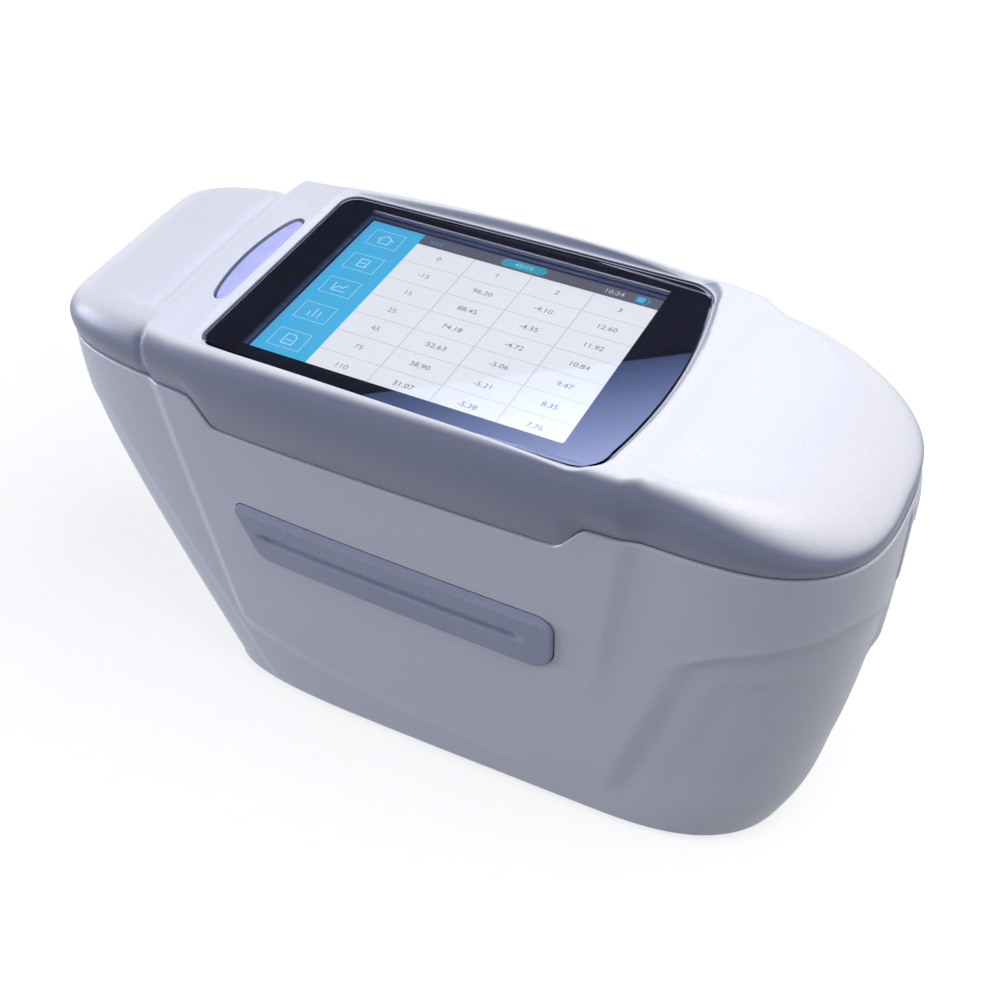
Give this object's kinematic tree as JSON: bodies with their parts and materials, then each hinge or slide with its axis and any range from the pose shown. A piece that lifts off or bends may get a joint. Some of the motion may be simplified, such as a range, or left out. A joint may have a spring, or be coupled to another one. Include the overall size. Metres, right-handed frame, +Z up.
{
  "type": "multi-angle spectrophotometer",
  "caption": "Hand-held colour-measuring instrument with a wedge-shaped casing, sunk touch screen, crescent measuring button, side grips, covered ports and a base aperture.",
  "frame": {"origin": "on the table, under the middle of the casing's length and width", "axes": "+X along the casing towards the end with the ports, +Y away from the user, +Z up"},
  "size_m": [0.1832, 0.0732, 0.1063],
  "materials": {
    "pearl_silver": "satin pearl paint",
    "satin_silver": "satin silver paint on plastic",
    "grip_rubber": "matte blue-grey rubber",
    "display_glass": "polished",
    "black_glue": "soft black adhesive",
    "display_face": "display panel",
    "lit_key": "translucent lavender",
    "black_plastic": "fine matte",
    "plated_steel": "plated",
    "black_alloy": "black anodised",
    "circuit_board": "solder mask",
    "lens_glass": "polished",
    "battery_wrap": "shrink wrap",
    "foot_rubber": "matte"
  },
  "bodies": {
    "casing": {"aperture_ring": "black_alloy", "base_foot_1": "foot_rubber", "base_foot_2": "foot_rubber", "base_foot_3": "foot_rubber", "base_foot_4": "foot_rubber", "base_plate": "black_plastic", "base_screw_1": "plated_steel", "base_screw_2": "plated_steel", "base_screw_3": "plated_steel", "base_screw_4": "plated_steel", "battery_clamp": "plated_steel", "battery_pack": "battery_wrap", "board_standoff_1": "plated_steel", "board_standoff_2": "plated_steel", "board_standoff_3": "plated_steel", "board_standoff_4": "plated_steel", "charge_socket": "black_plastic", "chassis_pillar_1": "plated_steel", "chassis_pillar_2": "plated_steel", "chassis_pillar_3": "plated_steel", "chassis_pillar_4": "plated_steel", "chassis_plate": "black_alloy", "display_bracket": "plated_steel", "display_module": "display_face", "glass_glue_frame": "black_glue", "lamp_board": "circuit_board", "lamp_lens": "lens_glass", "lamp_tube": "black_plastic", "lower_housing": "satin_silver", "main_board": "circuit_board", "measure_switch": "black_plastic", "optics_arch": "black_alloy", "port_board": "circuit_board", "receiver_sensor_1": "black_alloy", "receiver_sensor_2": "black_alloy", "receiver_sensor_3": "black_alloy", "receiver_sensor_4": "black_alloy", "receiver_sensor_5": "black_alloy", "receiver_sensor_6": "black_alloy", "receiver_tube_1": "black_plastic", "receiver_tube_2": "black_plastic", "receiver_tube_3": "black_plastic", "receiver_tube_4": "black_plastic", "receiver_tube_5": "black_plastic", "receiver_tube_6": "black_plastic", "rocker_case": "black_plastic", "side_grip_far": "grip_rubber", "side_grip_near": "grip_rubber", "strap_bar": "plated_steel", "strap_cup": "satin_silver", "top_cover": "pearl_silver", "touch_glass": "display_glass", "usb_socket": "plated_steel"},
    "key": {"measure_button": "lit_key", "switch_plunger": "black_plastic"},
    "flap": {"port_flap": "satin_silver"},
    "rocker": {"power_rocker": "black_plastic"}
  },
  "joints": [
    {"name": "measure_press", "type": "slide", "parent": "casing", "child": "key", "axis": [0, 0, -1], "range_m": [0, 0.0008], "stiffness_N_per_m": 1500, "springref_m": -0.0003},
    {"name": "flap_swing", "type": "hinge", "parent": "casing", "child": "flap", "pos_m": [0.09154, 0, 0.0672], "axis": [0, 1, 0], "range_deg": [0, 100]},
    {"name": "rocker_tilt", "type": "hinge", "parent": "casing", "child": "rocker", "pos_m": [0.08591, 0.0112, 0.0625], "axis": [0, 1, 0], "range_deg": [-5, 5]}
  ]
}
